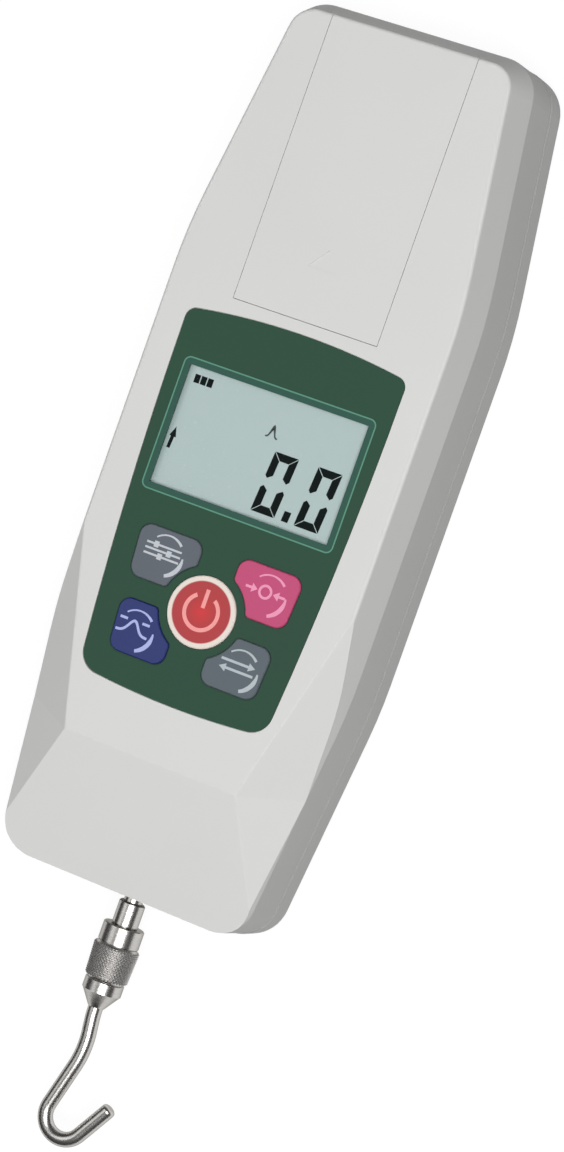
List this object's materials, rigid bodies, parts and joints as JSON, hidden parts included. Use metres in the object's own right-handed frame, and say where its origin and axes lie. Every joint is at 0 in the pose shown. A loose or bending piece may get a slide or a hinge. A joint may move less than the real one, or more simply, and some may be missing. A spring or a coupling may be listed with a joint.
{
  "type": "digital force gauge",
  "caption": "Handheld digital force gauge with a faceted two-part housing, display, five-key pad, sliding battery door and a hook on a knurled adapter.",
  "frame": {"origin": "centre of the flat back, midway between the four threaded mounting inserts", "axes": "+Z out of the display, +Y along the housing towards the battery end, +X to the right seen from the front; the spindle and hook leave along -Y"},
  "size_m": [0.0854, 0.3002, 0.0364],
  "materials": {
    "housing_plastic": "fine-textured pale grey ABS moulding",
    "overlay_film": "dark green printed overlay, satin",
    "window_clear": "clear acrylic window",
    "display_glass": "pale grey-green display glass",
    "white_plastic": "white moulded plastic",
    "board_laminate": "green glass-fibre board",
    "black_plastic": "black moulded plastic",
    "plunger_plastic": "natural nylon",
    "key_red": "satin red silicone key",
    "key_grey": "satin grey silicone key",
    "key_pink": "satin pink silicone key",
    "key_blue": "satin blue silicone key",
    "cell_jacket": "printed steel can",
    "spring_nickel": "nickel-plated spring steel",
    "cell_aluminium": "milled aluminium",
    "gauge_foil": "polyimide foil",
    "zinc_steel": "zinc-plated steel",
    "black_steel": "black oxide steel",
    "brass": "turned brass",
    "nickel_steel": "nickel-plated steel"
  },
  "bodies": {
    "housing": {"front_cover": "housing_plastic", "rear_cover": "housing_plastic", "keypad_panel": "overlay_film", "lcd_window": "window_clear", "lcd_glass": "display_glass", "lcd_frame": "white_plastic", "lcd_backlight": "white_plastic", "main_board": "board_laminate", "board_components": "black_plastic", "switch_housings": "black_plastic", "battery_holder": "black_plastic", "battery_cells": "cell_jacket", "battery_contacts": "spring_nickel", "load_cell": "cell_aluminium", "strain_gauges": "gauge_foil", "cell_bracket": "zinc_steel", "bracket_screws": "zinc_steel", "board_screws": "zinc_steel", "case_screws": "zinc_steel", "cell_bolts": "black_steel", "mounting_inserts": "brass", "guide_bush": "brass"},
    "door": {"battery_door": "housing_plastic"},
    "spindle_unit": {"spindle": "nickel_steel", "load_cell_live_arm": "cell_aluminium"},
    "hook_unit": {"hook_adapter": "nickel_steel", "hook": "nickel_steel"},
    "key_power_unit": {"key_power": "key_red", "plunger_power": "plunger_plastic"},
    "key_upper_left_unit": {"key_upper_left": "key_grey", "plunger_upper_left": "plunger_plastic"},
    "key_upper_right_unit": {"key_upper_right": "key_pink", "plunger_upper_right": "plunger_plastic"},
    "key_lower_left_unit": {"key_lower_left": "key_blue", "plunger_lower_left": "plunger_plastic"},
    "key_lower_right_unit": {"key_lower_right": "key_grey", "plunger_lower_right": "plunger_plastic"}
  },
  "joints": [
    {"name": "door_slide", "type": "slide", "parent": "housing", "child": "door", "axis": [0, 1, 0], "range_m": [0, 0.062]},
    {"name": "spindle_travel", "type": "slide", "parent": "housing", "child": "spindle_unit", "axis": [0, -1, 0], "range_m": [-0.0004, 0.0004], "stiffness_N_per_m": 250000},
    {"name": "hook_turn", "type": "hinge", "parent": "spindle_unit", "child": "hook_unit", "pos_m": [0, -0.13, 0.013], "axis": [0, 1, 0], "continuous": true},
    {"name": "key_power_press", "type": "slide", "parent": "housing", "child": "key_power_unit", "axis": [0, 0, -1], "range_m": [0, 0.0005], "stiffness_N_per_m": 3000, "springref_m": -0.0002},
    {"name": "key_upper_left_press", "type": "slide", "parent": "housing", "child": "key_upper_left_unit", "axis": [0, 0, -1], "range_m": [0, 0.0005], "stiffness_N_per_m": 3000, "springref_m": -0.0002},
    {"name": "key_upper_right_press", "type": "slide", "parent": "housing", "child": "key_upper_right_unit", "axis": [0, 0, -1], "range_m": [0, 0.0005], "stiffness_N_per_m": 3000, "springref_m": -0.0002},
    {"name": "key_lower_left_press", "type": "slide", "parent": "housing", "child": "key_lower_left_unit", "axis": [0, 0, -1], "range_m": [0, 0.0005], "stiffness_N_per_m": 3000, "springref_m": -0.0002},
    {"name": "key_lower_right_press", "type": "slide", "parent": "housing", "child": "key_lower_right_unit", "axis": [0, 0, -1], "range_m": [0, 0.0005], "stiffness_N_per_m": 3000, "springref_m": -0.0002}
  ]
}
